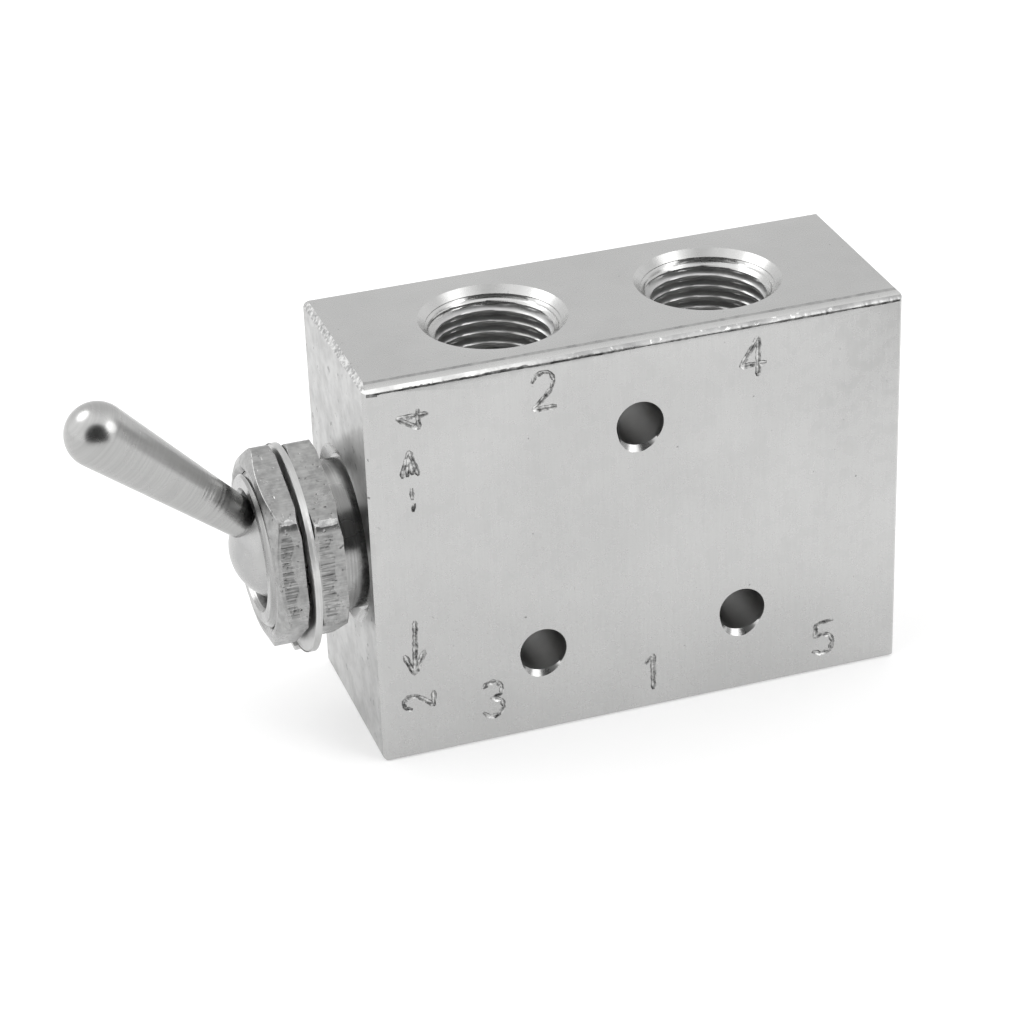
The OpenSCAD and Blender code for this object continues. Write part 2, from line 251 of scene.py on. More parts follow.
def boolean(obj, tools, operation="DIFFERENCE"):
    """Cuts obj by each tool with the exact solver and deletes the tools."""
    for tool in tools:
        step = obj.modifiers.new("cut", "BOOLEAN")
        step.operation = operation
        step.solver = "EXACT"
        step.object = tool
        graph = bpy.context.evaluated_depsgraph_get()
        made = bpy.data.meshes.new_from_object(obj.evaluated_get(graph))
        obj.modifiers.clear()
        obj.data = made
        bpy.data.objects.remove(tool)


def finish_piece(obj, body, material, replaces=(), sharp=32, parts=()):
    """Scales to metres, shades, and ties the piece to its body, material and CAD node.
    Faces along a main plane are shaded flat, so that small cuts don't tilt their light.
    parts holds (material, test) pairs for the faces whose centres in millimetres pass the test."""
    count = len(obj.data.polygons)
    centres = np.empty(count * 3)
    normals = np.empty(count * 3)
    obj.data.polygons.foreach_get("center", centres)
    obj.data.polygons.foreach_get("normal", normals)
    chosen = np.zeros(count, dtype=np.int32)
    obj.data.materials.clear()
    obj.data.materials.append(material)
    for i, (other, test) in enumerate(parts):
        obj.data.materials.append(other)
        chosen[test(centres.reshape(-1, 3))] = i + 1
    obj.data.polygons.foreach_set("material_index", chosen)
    smooth = np.abs(normals.reshape(-1, 3)).max(axis=1) < 0.9995
    obj.data.polygons.foreach_set("use_smooth", smooth)
    obj.data.transform(Matrix.Scale(MM, 4))
    obj.data.set_sharp_from_angle(angle=math.radians(sharp))
    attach(obj, body)
    if replaces:
        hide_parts(*replaces)
    return obj


# materials

class Nodes:
    """Short calls for the nodes of one material."""

    def __init__(self, name):
        self.material = bpy.data.materials.new(name)
        self.material.use_nodes = True
        self.tree = self.material.node_tree
        self.tree.nodes.clear()
        self.place = self.add("ShaderNodeTexCoord").outputs["Object"]

    def add(self, kind, **settings):
        made = self.tree.nodes.new(kind)
        for key, value in settings.items():
            setattr(made, key, value)
        return made

    def link(self, source, target):
        self.tree.links.new(source, target)

    def put(self, node, socket, value):
        """Links a socket's value, or sets it if it is a plain number or tuple."""
        if isinstance(value, bpy.types.NodeSocket):
            self.link(value, node.inputs[socket])
        else:
            node.inputs[socket].default_value = value

    def stretched(self, scale, turn=(0, 0, 0)):
        """Object coordinates turned first and then stretched."""
        turned_place = self.add("ShaderNodeMapping")
        self.link(self.place, turned_place.inputs["Vector"])
        turned_place.inputs["Rotation"].default_value = turn
        mapping = self.add("ShaderNodeMapping")
        self.link(turned_place.outputs["Vector"], mapping.inputs["Vector"])
        mapping.inputs["Scale"].default_value = scale
        return mapping.outputs["Vector"]

    def noise(self, vector, scale=1.0, detail=3.0, rough=0.5):
        made = self.add("ShaderNodeTexNoise")
        self.link(vector, made.inputs["Vector"])
        made.inputs["Scale"].default_value = scale
        made.inputs["Detail"].default_value = detail
        made.inputs["Roughness"].default_value = rough
        return made.outputs["Fac"]

    def ramp(self, value, low, high, out_low=0.0, out_high=1.0):
        made = self.add("ShaderNodeMapRange", interpolation_type="SMOOTHSTEP")
        self.put(made, "Value", value)
        self.put(made, "From Min", low)
        self.put(made, "From Max", high)
        self.put(made, "To Min", out_low)
        self.put(made, "To Max", out_high)
        return made.outputs["Result"]

    def spread(self, noise, out_low=0.0, out_high=1.0):
        """The middle of a noise, where most of its values lie, spread over a range."""
        return self.ramp(noise, 0.3, 0.7, out_low, out_high)

    def math(self, operation, a, b=0.0):
        made = self.add("ShaderNodeMath", operation=operation)
        self.put(made, 0, a)
        self.put(made, 1, b)
        return made.outputs[0]

    def mix(self, share, a, b):
        made = self.add("ShaderNodeMix", data_type="FLOAT")
        self.put(made, 0, share)
        self.put(made, 2, a)
        self.put(made, 3, b)
        return made.outputs[0]

    def tint(self, value, dark, light):
        """Colour between dark and light by a value from 0 to 1."""
        made = self.add("ShaderNodeMix", data_type="RGBA")
        self.put(made, 0, value)
        made.inputs[6].default_value = (*dark, 1)
        made.inputs[7].default_value = (*light, 1)
        return made.outputs[2]

    def place_along(self, axis):
        """X, Y or Z in the part's frame, in metres."""
        split = self.add("ShaderNodeSeparateXYZ")
        self.link(self.place, split.inputs[0])
        return split.outputs[axis]

    def normal_part(self, axis):
        """How far the surface faces along X, Y or Z of the part's frame, from 0 to 1."""
        split = self.add("ShaderNodeSeparateXYZ")
        self.link(self.add("ShaderNodeTexCoord").outputs["Normal"], split.inputs[0])
        return self.math("ABSOLUTE", split.outputs[axis])

    def bump(self, height, distance, strength, below=None):
        made = self.add("ShaderNodeBump")
        made.inputs["Strength"].default_value = strength
        made.inputs["Distance"].default_value = distance
        self.link(height, made.inputs["Height"])
        if below is not None:
            self.link(below, made.inputs["Normal"])
        return made.outputs["Normal"]

    def finished(self, colour, roughness, normal, metallic=1.0):
        """Ends the material with its shader, and returns it."""
        shader = self.add("ShaderNodeBsdfPrincipled")
        shader.inputs["Metallic"].default_value = metallic
        self.link(colour, shader.inputs["Base Color"])
        self.link(roughness, shader.inputs["Roughness"])
        self.link(normal, shader.inputs["Normal"])
        output = self.add("ShaderNodeOutputMaterial")
        self.link(shader.outputs[0], output.inputs[0])
        return self.material


def block_nickel():
    """Plated block: soft sheen, faint mill lines, small pits, and a blotchy, specked end face that is
    also darker overall as painted shade.
    """
    m = Nodes("block_nickel")
    cloud = m.noise(m.place, 70, 3)
    lines_x = m.noise(m.stretched((500, 500, 9000)), 1, 2)
    lines_z = m.noise(m.stretched((9000, 7000, 350)), 1, 2)
    facing_x = m.ramp(m.normal_part(0), 0.8, 0.95)
    facing_z = m.ramp(m.normal_part(2), 0.8, 0.95)
    lines = m.mix(facing_z, lines_z, lines_x)
    mottle = m.ramp(m.noise(m.place, 900, 4, 0.6), 0.35, 0.75)
    # blotches on the faces along X; all values lie below 1, so these faces are also darker overall:
    # partly real blotches, partly painted shade
    blotch_and_shade = m.ramp(m.noise(m.place, 420, 5, 0.68), 0.38, 0.62, 0.74, 0.98)
    near_end = m.ramp(m.place_along(0), (LEFT_X + 0.9) * MM, (LEFT_X + 0.3) * MM)
    few_pits = m.ramp(m.noise(m.place, 2600, 2), 0.2, 0.26)
    end_pits = m.ramp(m.noise(m.place, 1300, 3), 0.3, 0.34)
    pits = m.mix(near_end, few_pits, end_pits)
    line_shade = m.mix(facing_x, m.ramp(lines, 0.2, 0.8, 0.96, 1.0), 1.0)
    shade = m.math("MULTIPLY", m.spread(cloud, 0.9, 1.0), line_shade)
    shade = m.math("MULTIPLY", shade, m.mix(facing_x, 1.0, blotch_and_shade))
    shade = m.math("MULTIPLY", shade, m.mix(pits, 0.45, 1.0))
    colour = m.tint(shade, (0.08, 0.08, 0.08), (0.538, 0.538, 0.533))
    roughness = m.math("ADD", m.ramp(mottle, 0, 1, 0.25, 0.33), m.mix(facing_x, 0.0, 0.05))
    normal = m.bump(m.mix(facing_x, lines, 0.5), 0.000006, 0.24)
    normal = m.bump(cloud, 0.0003, 0.06, normal)
    normal = m.bump(pits, 0.00003, 0.6, normal)
    return m.finished(colour, roughness, normal)


def plain_nickel(name, dark, light, rough, grain_scale=1400, relief=0.3):
    """Even nickel with a fine grain, between a dark and a light grey."""
    m = Nodes(name)
    grain = m.noise(m.place, grain_scale, 4, 0.6)
    colour = m.tint(m.spread(grain), (dark, dark, dark), (light, light, light * 0.99))
    roughness = m.spread(grain, rough - 0.04, rough + 0.05)
    return m.finished(colour, roughness, m.bump(grain, 0.00001, relief))


def edge_nickel():
    """Top front edge of the block: a painted highlight near the lever, then satin with bright flecks."""
    m = Nodes("edge_nickel")
    grain = m.noise(m.place, 420, 4, 0.6)
    flecks = m.ramp(m.noise(m.place, 2100, 3, 0.6), 0.6, 0.66)
    # painted highlight near the lever's end, together with the bright flecks, lifts the colour towards
    # near white
    painted_highlight = m.math("MAXIMUM", m.ramp(m.place_along(0), -4 * MM, -15 * MM), flecks)
    satin = m.spread(grain, 0.0, 0.3)
    bright = m.spread(grain, 0.3, 1.0)
    colour = m.tint(m.mix(painted_highlight, satin, bright), (0.3, 0.3, 0.3), (0.9, 0.9, 0.89))
    return m.finished(colour, m.spread(grain, 0.26, 0.35), m.bump(grain, 0.00001, 0.3))


def nut_nickel(name="nut_nickel", light=0.43, streaks=0.12, rough=0.3):
    """Rough-cut nuts: mottled flats with pits and cutter streaks along the nut's axis."""
    m = Nodes(name)
    grain = m.noise(m.place, 1500, 5, 0.65)
    cloud = m.noise(m.place, 450, 3)
    lines = m.noise(m.stretched((700, 9000, 9000)), 1, 2)
    pits = m.ramp(m.noise(m.place, 2200, 2), 0.25, 0.33)
    shade = m.math("MULTIPLY", m.spread(grain, 0.66, 1.0), m.mix(pits, 0.45, 1.0))
    shade = m.math("MULTIPLY", shade, m.spread(lines, 1.0 - 1.4 * streaks, 1.0))
    colour = m.tint(shade, (0.06, 0.06, 0.06), (light, light, light * 0.99))
    roughness = m.spread(cloud, rough - 0.05, rough + 0.08)
    normal = m.bump(grain, 0.00002, 0.3)
    normal = m.bump(lines, 0.00003, streaks, normal)
    normal = m.bump(pits, 0.00004, 0.5, normal)
    return m.finished(colour, roughness, normal)


def turned_nickel():
    """Plated turned work: fine rings round the axis come from a stretched noise along X."""
    m = Nodes("turned_nickel")
    rings = m.noise(m.stretched((9000, 300, 300)), 1, 2)
    cloud = m.noise(m.place, 500, 3)
    colour = m.tint(m.ramp(rings, 0.2, 0.8, 0.6, 1.0), (0.1, 0.1, 0.1), (0.415, 0.415, 0.41085))
    return m.finished(colour, m.spread(cloud, 0.19, 0.32), m.bump(rings, 0.000008, 0.3))


def lever_nickel():
    """Satin lever with fine turning rings across its axis."""
    m = Nodes("lever_nickel")
    tilt = math.radians(LEVER_UP)
    rings = m.noise(m.stretched((6500, 120, 120), (0, -tilt, 0)), 1, 2, 0.6)
    cloud = m.noise(m.place, 350, 3)
    colour = m.tint(m.spread(rings, 0.87, 1.0), (0.12, 0.12, 0.12), (0.435, 0.435, 0.43))
    roughness = m.spread(cloud, 0.24, 0.3)
    normal = m.bump(rings, 0.000006, 0.15)
    return m.finished(colour, roughness, normal)


def spring_steel():
    """Grey spring steel, with a painted highlight on the washer's rim between the nuts' front corners.
    """
    m = Nodes("spring_steel")
    grain = m.noise(m.place, 500, 3, 0.5)
    lines = m.noise(m.stretched((9000, 400, 400)), 1, 2)
    shade = m.math("MULTIPLY", m.spread(grain, 0.85, 1.0), m.spread(lines, 0.85, 1.0))
    # painted highlight: a band of the rim on its front side, round a set height, is coloured near white
    off_spot = m.math("ABSOLUTE", m.math("SUBTRACT", m.place_along(2), HIGHLIGHT_RIM_Z * MM))
    on_front = m.ramp(m.place_along(1), -3 * MM, -5 * MM)
    painted_highlight = m.math("MULTIPLY", m.ramp(off_spot, 3.4 * MM, 0.8 * MM), on_front)
    shade = m.mix(painted_highlight, m.math("MULTIPLY", shade, 0.56), 1.0)
    colour = m.tint(shade, (0.14, 0.14, 0.14), (0.97, 0.97, 0.96))
    roughness = m.spread(grain, 0.36, 0.44)
    return m.finished(colour, roughness, m.bump(lines, 0.000006, 0.3))


def pin_steel():
    m = Nodes("pin_steel")
    grain = m.noise(m.stretched((600, 9000, 600)), 1, 3)
    colour = m.tint(m.spread(grain), (0.28, 0.28, 0.29), (0.52, 0.52, 0.53))
    roughness = m.spread(grain, 0.22, 0.36)
    return m.finished(colour, roughness, m.bump(grain, 0.000008, 0.3))


def spool_brass():
    m = Nodes("spool_brass")
    rings = m.noise(m.stretched((9000, 300, 300)), 1, 2)
    cloud = m.noise(m.place, 400, 3)
    shade = m.math("MULTIPLY", m.ramp(rings, 0.2, 0.8, 0.75, 1.0), m.spread(cloud, 0.85, 1.0))
    colour = m.tint(shade, (0.22, 0.14, 0.04), (0.78, 0.57, 0.26))
    roughness = m.spread(cloud, 0.18, 0.32)
    return m.finished(colour, roughness, m.bump(rings, 0.000008, 0.3))


def ring_rubber():
    m = Nodes("ring_rubber")
    grain = m.noise(m.place, 3000, 4, 0.6)
    colour = m.tint(grain, (0.012, 0.012, 0.012), (0.035, 0.035, 0.034))
    return m.finished(colour, m.spread(grain, 0.45, 0.65), m.bump(grain, 0.00001, 0.4), metallic=0.0)


# block

def port_tool(name, crest, root, mouth, pitch, depth, place, columns=96, seed=0):
    """Solid of a tapped port: a mouth with a ragged ledge at the rear, the thread, and a flat end."""
    theta = np.arange(columns) / columns * TURN
    mouth_end = crest - mouth
    ledge_depth = (mouth - crest) * 0.42
    first_u = place[1]
    direction = np.degrees(theta + math.atan2(first_u[1], first_u[0])) % 360
    ledge = window(direction, 38, 98, 24)
    burr = 0.1 * noise_2d(theta * 14, 0.5, seed) * ledge
    thread_z = np.arange(mouth_end, -depth, -pitch / 14)
    section = []
    for z in np.concatenate([np.linspace(0.5, mouth_end, 34), thread_z[1:]]):
        fade = ease(np.clip((z + depth) / pitch, 0, 1))
        fade *= ease(np.clip((0.5 * mouth_end - z) / 0.25, 0, 1))
        radius = crest + SKIM + (root - crest) * thread_share(theta, z - 0.3 * pitch, pitch) * fade
        layer = 0.03 * noise_2d(z / 0.07, 0.5, seed)
        if z > -ledge_depth:
            cone = mouth + SKIM + z
        elif z > -1.5 * ledge_depth:
            on_ledge = mouth + SKIM - ledge_depth + burr
            cone = ledge * on_ledge + (1 - ledge) * (mouth + 0.04 + z + layer)
        else:
            cone = mouth + 0.08 + z + layer
        section.append((np.maximum(radius, cone), z))
    return skin(name, turned(section, theta, place))


def edge_tool(start, end, inward_a, inward_b, profile, rough, seed):
    """Bar that recuts an edge of the block. The profile is (a, b), each a distance in from one of the
    edge's two faces, and it wanders by up to rough along the edge, as a hand-held cutter's does."""
    start, end = np.array(start, float), np.array(end, float)
    length = np.linalg.norm(end - start)
    along = (end - start) / length
    a_way, b_way = np.array(inward_a, float), np.array(inward_b, float)
    overrun = 0.5
    ring_step = 0.09
    outside = -0.4
    rings = []
    for t in np.arange(-overrun, length + overrun, ring_step):
        wave = noise_2d(t / 1.7, 0.5, seed) + 0.6 * noise_2d(t / 0.2, 0.5, seed + 1) - 0.8
        nick = 1.6 * max(noise_2d(t / 0.45, 0.5, seed + 2) - 0.8, 0)
        points = []
        for i, (a, b) in enumerate(profile):
            push = rough * (wave * (0.6 + 0.4 * (i % 2)) + nick)
            points.append((a + push, b + push))
        points[0] = beyond(points[1], points[0], 0)
        points[-1] = beyond(points[-2], points[-1], 1)
        points = [(points[-1][0], outside), (outside, outside), (outside, points[0][1])] + points
        rings.append([start + along * t + a_way * a + b_way * b for a, b in points])
    return skin("edge", np.array(rings))


def beyond(inner, outer, axis):
    """Point on the line from inner through outer, just outside the face that the axis counts from."""
    proud = 0.15
    share = (outer[axis] + proud) / max(inner[axis] - outer[axis], 0.02)
    return (outer[0] + (outer[0] - inner[0]) * share, outer[1] + (outer[1] - inner[1]) * share)


def edge_tools():
    """Recut of the top front edge, with a lower facet coloured as a painted shadow line, and of the two
    edges at the lever's end.
    """
    top_front = [(0, 0.62), (0.06, 0.48), (0.36, 0.25), (0.85, 0.06), (1.12, 0)]
    end_top = [(0, 0.25), (0.09, 0.1), (0.25, 0)]
    end_front = [(0, 0.3), (0.1, 0.13), (1.05, 0)]
    corner = (LEFT_X, FRONT_Y, TOP_Z)
    right, back, down = (1, 0, 0), (0, 1, 0), (0, 0, -1)
    along_x = edge_tool(corner, (-LEFT_X, FRONT_Y, TOP_Z), back, down, top_front, rough=0.035, seed=61)
    along_y = edge_tool(corner, (LEFT_X, -FRONT_Y, TOP_Z), right, down, end_top, rough=0.08, seed=65)
    along_z = edge_tool(corner, (LEFT_X, FRONT_Y, BOTTOM_Z), right, back, end_front, rough=0.03, seed=69)
    return [along_x, along_y, along_z]


def off_edge(at):
    """How far points lie below the top face and behind the front face."""
    return TOP_Z - at[:, 2], at[:, 1] - FRONT_Y


def on_top_front_edge(at):
    """Which points lie on the middle of the top front edge."""
    down, back = off_edge(at)
    return (down > 0.16) & (down < 0.47) & (back > 0.05) & (back < 0.48)


def under_top_front_edge(at):
    """Which points lie on the facet between the top front edge and the front face, coloured dark as a
    painted shadow line.
    """
    down, back = off_edge(at)
    return (down > 0.47) & (down < 0.72) & (back > 0.004) & (back < 0.1)


def on_flecked_edge(at):
    """Which points lie on the top edge at the lever's end."""
    down, back = off_edge(at)
    along = at[:, 0] - LEFT_X
    return (down > 0.005) & (down < 0.3) & (along > 0.01) & (along < 0.32) & (back > 0.5)


def on_dull_edge(at):
    """Which points lie on the duller band between the top front edge and the top face."""
    down, back = off_edge(at)
    return (down > 0.004) & (down < 0.09) & (back > 0.6) & (back < 1.25)


def near_mounting_hole(at, reach):
    """Which points lie within reach of a mounting hole's axis."""
    found = np.zeros(len(at), dtype=bool)
    for hole_x, hole_z in MOUNTING_HOLES:
        found |= np.hypot(at[:, 0] - hole_x, at[:, 2] - hole_z) < reach
    return found


def in_a_hole(at):
    """Which points lie on the walls of the port and mounting holes."""
    x, y, z = at[:, 0], at[:, 1], at[:, 2]
    found = near_mounting_hole(at, MOUNT_R + 0.025)
    below_mouth = PORT_MOUTH_R - PORT_R + 0.02
    hole_end = 13
    for port_x, deep in ((-OUTLET_X, TOP_Z - z), (OUTLET_X, TOP_Z - z), (0, z - BOTTOM_Z)):
        inside = np.hypot(x - port_x, y) < PORT_ROOT_R + 0.05
        found |= inside & (deep > below_mouth) & (deep < hole_end)
    return found


def in_a_mark(at):
    """Which points lie in the marks punched in the front face."""
    x, y, z = at[:, 0], at[:, 1], at[:, 2]
    sunk = (y > FRONT_Y + 0.005) & (y < FRONT_Y + 2 * STROKE_DEPTH)
    inner = (z < TOP_Z - 0.75) & (z > BOTTOM_Z + 0.5) & (x > LEFT_X + 1.25) & (x < -LEFT_X - 0.5)
    return sunk & inner & ~near_mounting_hole(at, MOUNT_R + 0.7)


def hole_tool(x, z):
    """Round bore of a mounting hole with a countersink at the lower side of its front mouth."""
    theta = np.arange(120) / 120 * TURN
    low = window(np.degrees(theta), 222, 300, 60)
    uneven = 0.05 + LIP * low * (0.85 + 0.4 * noise_2d(theta * 5, 0.5, int(50 + x)))
    deep = 0.12 + 0.6 * LIP * low
    proud = 0.1
    inner = MOUNT_R + 0.015
    section = [(inner + uneven * (1 + proud / deep), proud), (inner, -deep)]
    section += [(inner, -deep - step) for step in np.linspace(0.5, -2 * FRONT_Y, 24)]
    return skin("hole", turned(section, theta, axes((x, FRONT_Y, z), (0, -1, 0), (1, 0, 0))))


# strokes of plain digits, each a line of points from 0 to 1 across and up
DIGITS = {
    "1": [[(0.2, 0.8), (0.5, 1.0), (0.5, 0.0)]],
    "2": [[(0.06, 0.76), (0.2, 0.94), (0.5, 1.0), (0.8, 0.93), (0.92, 0.74), (0.8, 0.5), (0.08, 0.0)],
          [(0.08, 0.0), (0.95, 0.0)]],
    "3": [[(0.08, 0.88), (0.3, 1.0), (0.65, 0.99), (0.88, 0.84), (0.84, 0.62), (0.42, 0.53)],
          [(0.42, 0.53), (0.86, 0.43), (0.94, 0.22), (0.74, 0.02), (0.34, 0.0), (0.05, 0.14)]],
    "4": [[(0.7, 0.0), (0.7, 1.0), (0.03, 0.3)], [(0.03, 0.3), (0.98, 0.3)]],
    "5": [[(0.88, 1.0), (0.2, 1.0), (0.12, 0.56)],
          [(0.12, 0.56), (0.45, 0.64), (0.8, 0.55), (0.93, 0.32), (0.78, 0.06), (0.4, 0.0),
           (0.06, 0.12)]],
}


def stroke_tools(line, seed):
    """Punched V-grooves along a line of (x, z) points on the block's front face, one per stretch."""
    rng = np.random.default_rng(seed)
    tools = []
    proud = 0.06
    overrun = 0.1
    ring_step = 0.22
    for a, b in zip(line[:-1], line[1:]):
        a, b = np.array(a, float), np.array(b, float)
        length = np.linalg.norm(b - a)
        along = (b - a) / length
        across = np.array([-along[1], along[0]])
        count = max(3, int(length / ring_step))
        rings = []
        for i, t in enumerate(np.linspace(-overrun, length + overrun, count)):
            end = 0.45 if i in (0, count - 1) else 1.0
            half = STROKE_W / 2 * end * (0.8 + 0.35 * rng.random())
            deep = STROKE_DEPTH * end * (0.75 + 0.4 * rng.random())
            centre = a + along * t + across * 0.035 * (rng.random() - 0.5)
            wide = half * (1 + proud / deep)
            flat = half * 0.35
            points = [(wide, -proud), (flat, deep), (-flat, deep), (-wide, -proud)]
            rings.append([(centre[0] + across[0] * s, FRONT_Y + y, centre[1] + across[1] * s)
                          for s, y in points])
        tools.append(skin("stroke", np.array(rings)))
    return tools


def mark_lines():
    """Every stroke on the front face: plain port numbers, and at the lever's end numbers and arrows."""
    lines = []

    def digit(sign, x0, x1, z0, z1, quarter_turn=False):
        for line in DIGITS[sign]:
            if quarter_turn:
                lines.append([(x0 + (1 - v) * (x1 - x0), z0 + u * (z1 - z0)) for u, v in line])
            else:
                lines.append([(x0 + u * (x1 - x0), z0 + v * (z1 - z0)) for u, v in line])

    digit("2", -8.35, -6.45, 20.5, 23.45)
    digit("4", 7.95, 10.0, 20.0, 23.1)
    digit("3", -13.1, -11.3, -4.9, -1.85)
    digit("1", -0.2, 1.7, -5.4, -2.4)
    digit("5", 14.0, 15.9, -5.45, -2.6)
    digit("4", -18.56, -16.3, 20.7, 22.25, quarter_turn=True)
    digit("2", -19.3, -16.9, -2.9, -1.5, quarter_turn=True)
    up_x, up_z = -17.8, 19.0
    lines.append([(up_x - 0.6, up_z - 2.0), (up_x, up_z)])
    lines.append([(up_x + 0.6, up_z - 2.0), (up_x, up_z)])
    lines.append([(up_x - 0.2, up_z - 1.95), (up_x - 0.04, up_z - 0.4)])
    lines.append([(up_x + 0.19, up_z - 1.85), (up_x + 0.05, up_z - 0.5)])
    lines.append([(up_x + 0.05, up_z - 3.1), (up_x + 0.08, up_z - 3.9)])
    lines.append([(up_x + 0.2, up_z - 4.4), (up_x + 0.1, up_z - 4.9)])
    down_x, down_top, down_tip = -18.15, 4.74, 0.25
    lines.append([(down_x + 0.1, down_top), (down_x - 0.1, down_tip)])
    lines.append([(down_x - 0.85, down_tip + 1.7), (down_x - 0.13, down_tip)])
    lines.append([(down_x + 0.7, down_tip + 1.85), (down_x - 0.07, down_tip)])
    return lines


def make_block(material, parts):
    """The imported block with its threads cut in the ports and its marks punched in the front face."""
    obj = cad_copy("valve_body", "block")
    up, down = (0, 0, 1), (0, 0, -1)
    tools = edge_tools()
    for i, side in enumerate((-1, 1)):
        outlet = axes((side * OUTLET_X, 0, TOP_Z), up, (math.cos(2.2 + i), math.sin(2.2 + i), 0))
        tools.append(port_tool("outlet", PORT_R, PORT_ROOT_R, PORT_MOUTH_R, PORT_PITCH,
                               OUTLET_THREAD_L, outlet, seed=71 + i))
        exhaust = axes((side * EXHAUST_X, 0, BOTTOM_Z), down, (1, 0, 0))
        tools.append(port_tool("exhaust", EXHAUST_R, EXHAUST_ROOT_R, EXHAUST_MOUTH_R, EXHAUST_PITCH,
                               EXHAUST_THREAD_L, exhaust, columns=64))
    supply = axes((0, 0, BOTTOM_Z), down, (1, 0, 0))
    tools.append(port_tool("supply", PORT_R, PORT_ROOT_R, PORT_MOUTH_R, PORT_PITCH,
                           SUPPLY_THREAD_L, supply))
    tools += [hole_tool(x, z) for x, z in MOUNTING_HOLES]
    for i, line in enumerate(mark_lines()):
        tools += stroke_tools(line, 40 + i)
    boolean(obj, tools)
    return finish_piece(obj, "housing", material, ["valve_body"], parts=parts)


# bushing, nuts and lever

def outward_axis(x):
    """Frame on the spool's axis at x whose turning axis points to -X, out of the block."""
    return axes((x, 0, AXIS_Z), (-1, 0, 0), (0, 0, -1))


def make_bushing(material, cavity_material):
    """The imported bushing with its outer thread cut."""
    lo, hi = corners("bushing")
    obj = cad_copy("bushing", "bushing_threaded")
    theta = np.arange(120) / 120 * TURN
    place = outward_axis(lo[0])
    thread_l = thread_end_x() - lo[0]
    section = []
    for z in np.linspace(0.5, -thread_l, int(thread_l * 14)):
        fade = ease(np.clip((z + thread_l) / 0.6, 0, 1))
        cut = (THREAD_R + SKIM - THREAD_ROOT_R) * (1 - thread_share(theta, z, THREAD_PITCH)) * fade
        section.append((THREAD_R + SKIM - cut, z))
    section.append((THREAD_R + 1, -thread_l - 0.02))
    section.append((THREAD_R + 1, -(hi[0] - lo[0]) - 1))
    boolean(obj, [skin("envelope", turned(section, theta, place))], "INTERSECT")

    # the bushing's inside round the ball is coloured very dark: painted shade in the recess
    def in_cavity(at):
        return (np.hypot(at[:, 1], at[:, 2] - AXIS_Z) < BALL_R + 0.5) & (at[:, 0] > lo[0] + 0.3)

    return finish_piece(obj, "housing", material, ["bushing"],
                        parts=((cavity_material, in_cavity),))


def thread_end_x():
    """X where the bushing's thread for the nuts ends: the inner nut's inner face."""
    return corners("inner_nut")[1][0]


def rounded(section, radius=0.07):
    """Section with each inner corner replaced by four points of a small round."""
    made = [section[0]]
    for before, here, after in zip(section[:-2], section[1:-1], section[2:]):
        here = [np.asarray(c, float) for c in here]
        for t, other in ((1.0, before), (0.35, before), (0.35, after), (1.0, after)):
            gap = np.sqrt((other[0] - here[0]) ** 2 + (other[1] - here[1]) ** 2) + 1e-9
            share = np.minimum(radius * t / gap, 0.45)
            made.append((here[0] + (other[0] - here[0]) * share, here[1] + (other[1] - here[1]) * share))
    made.append(section[-1])
    return made


def hexagon_radius(theta, corner):
    """Radius of the nut's hexagon with slightly rounded corners, the first at the angle corner."""
    power = 30
    total = 0
    for k in range(6):
        facing = np.cos(theta - corner - (k + 0.5) * TURN / 6)
        total = total + (np.maximum(facing, 0) / (NUT_FLATS / 2)) ** power
    return total ** (-1 / power)


